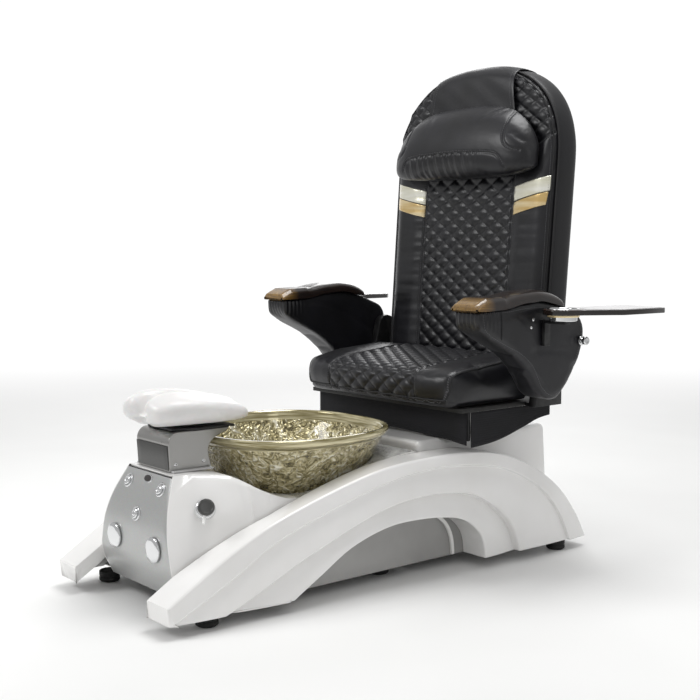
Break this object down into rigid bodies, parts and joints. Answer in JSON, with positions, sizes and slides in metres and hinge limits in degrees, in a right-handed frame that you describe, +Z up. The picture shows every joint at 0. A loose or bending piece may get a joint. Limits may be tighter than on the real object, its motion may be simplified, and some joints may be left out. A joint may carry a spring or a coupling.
{
  "type": "pedicure spa chair",
  "caption": "Pedicure spa chair: moulded white base with side arches, foot bowl, sliding footrest and water controls, under a reclining quilted seat with lift-up arms and swivel trays.",
  "frame": {"origin": "on the floor, under the centre of the whole chair's box", "axes": "+Z up; the foot bowl and console face -Y; +X is the side of the water mixer, the sitting client's left"},
  "size_m": [1.328, 1.43, 1.455],
  "materials": {
    "white_gelcoat": "pearl white gloss, moulded fibreglass",
    "grey_gelcoat": "satin grey",
    "silver_paint": "silver-grey metallic paint on moulded plastic",
    "gold_resin": "champagne-gold textured resin, thick and hardly see-through",
    "chrome_plate": "mirror chrome",
    "satin_steel": "satin",
    "black_steel": "black powder coat",
    "black_plastic": "satin black",
    "black_board": "black painted plywood",
    "black_rubber": "matt",
    "black_leather": "soft semi-gloss synthetic leather over foam",
    "black_fabric": "black woven skirt",
    "white_vinyl": "smooth white vinyl over foam",
    "walnut_gloss": "dark walnut under high-gloss lacquer",
    "champagne_trim": "champagne-gold patent trim",
    "white_laminate": "gloss white laminate with a black edge"
  },
  "bodies": {
    "base": {"base_shell": "white_gelcoat", "plinth_shell": "white_gelcoat", "side_fender_left": "white_gelcoat", "side_fender_right": "white_gelcoat", "arch_lining_left": "grey_gelcoat", "arch_lining_right": "grey_gelcoat", "console_panel": "silver_paint", "bowl": "gold_resin", "drain_strainer": "chrome_plate", "jet_cover": "chrome_plate", "jet_motor": "black_plastic", "drain_hose": "black_rubber", "supply_box": "black_plastic", "base_frame": "black_steel", "seat_rail_left": "satin_steel", "seat_rail_right": "satin_steel", "mixer_collar": "chrome_plate", "footrest_housing": "satin_steel", "foot_front_left": "black_rubber", "foot_front_right": "black_rubber", "foot_middle_left": "black_rubber", "foot_middle_right": "black_rubber", "foot_rear_left": "black_rubber", "foot_rear_right": "black_rubber"},
    "footrest": {"footrest_plate": "black_steel", "footrest_pad": "white_vinyl"},
    "jet_button": {"jet_button": "chrome_plate"},
    "light_button": {"light_button": "chrome_plate"},
    "drain_button": {"drain_button": "chrome_plate"},
    "hot_knob": {"hot_water_knob": "chrome_plate"},
    "cold_knob": {"cold_water_knob": "chrome_plate"},
    "mixer": {"mixer_handle": "black_plastic", "mixer_lever": "chrome_plate"},
    "seat": {"seat_board": "black_board", "slide_carriage": "black_steel", "seat_cushion": "black_leather", "skirt_front": "black_fabric", "skirt_left": "black_fabric", "skirt_right": "black_fabric", "arm_bracket_left": "black_steel", "arm_bracket_right": "black_steel"},
    "back": {"back_cushion": "black_leather", "back_shell": "black_leather", "massage_unit": "black_plastic", "trim_band_left": "champagne_trim", "trim_band_right": "champagne_trim", "head_pillow": "black_leather"},
    "arm_left": {"arm_body_left": "black_leather", "arm_cap_left": "walnut_gloss", "arm_knob_left": "chrome_plate", "tray_bracket_left": "black_steel"},
    "arm_right": {"arm_body_right": "black_leather", "arm_cap_right": "walnut_gloss", "arm_knob_right": "chrome_plate", "tray_bracket_right": "black_steel"},
    "tray_left": {"tray_board_left": "white_laminate", "cup_holder_left": "chrome_plate"},
    "tray_right": {"tray_board_right": "white_laminate", "cup_holder_right": "chrome_plate"}
  },
  "joints": [
    {"name": "seat_slide", "type": "slide", "parent": "base", "child": "seat", "axis": [0, 1, 0], "range_m": [0, 0.08]},
    {"name": "back_recline", "type": "hinge", "parent": "seat", "child": "back", "pos_m": [0, 0.56, 0.5], "axis": [-1, 0, 0], "range_deg": [0, 40]},
    {"name": "arm_lift_left", "type": "hinge", "parent": "seat", "child": "arm_left", "pos_m": [-0.42, 0.519, 0.646], "axis": [-1, 0, 0], "range_deg": [0, 75]},
    {"name": "arm_lift_right", "type": "hinge", "parent": "seat", "child": "arm_right", "pos_m": [0.42, 0.519, 0.646], "axis": [-1, 0, 0], "range_deg": [0, 75]},
    {"name": "tray_swivel_left", "type": "hinge", "parent": "arm_left", "child": "tray_left", "pos_m": [-0.54, 0.362, 0.728], "axis": [0, 0, 1], "range_deg": [0, 110]},
    {"name": "tray_swivel_right", "type": "hinge", "parent": "arm_right", "child": "tray_right", "pos_m": [0.54, 0.362, 0.728], "axis": [0, 0, -1], "range_deg": [0, 110]},
    {"name": "footrest_slide", "type": "slide", "parent": "base", "child": "footrest", "axis": [0, 1, 0], "range_m": [-0.03, 0.05]},
    {"name": "jet_button_press", "type": "slide", "parent": "base", "child": "jet_button", "axis": [0, 0.9062, -0.4229], "range_m": [0, 0.0025], "stiffness_N_per_m": 400, "springref_m": -0.001},
    {"name": "light_button_press", "type": "slide", "parent": "base", "child": "light_button", "axis": [0, 0.9062, -0.4229], "range_m": [0, 0.0025], "stiffness_N_per_m": 400, "springref_m": -0.001},
    {"name": "drain_button_press", "type": "slide", "parent": "base", "child": "drain_button", "axis": [0, 0.9744, -0.2249], "range_m": [0, 0.0025], "stiffness_N_per_m": 400, "springref_m": -0.001},
    {"name": "hot_knob_turn", "type": "hinge", "parent": "base", "child": "hot_knob", "pos_m": [-0.098, -0.642, 0.165], "axis": [0, -1, 0], "range_deg": [0, 90]},
    {"name": "cold_knob_turn", "type": "hinge", "parent": "base", "child": "cold_knob", "pos_m": [0.098, -0.642, 0.165], "axis": [0, -1, 0], "range_deg": [0, 90]},
    {"name": "mixer_turn", "type": "hinge", "parent": "base", "child": "mixer", "pos_m": [0.18259, -0.54727, 0.26762], "axis": [0.827, -0.3787, 0.4155], "range_deg": [-60, 60]}
  ]
}
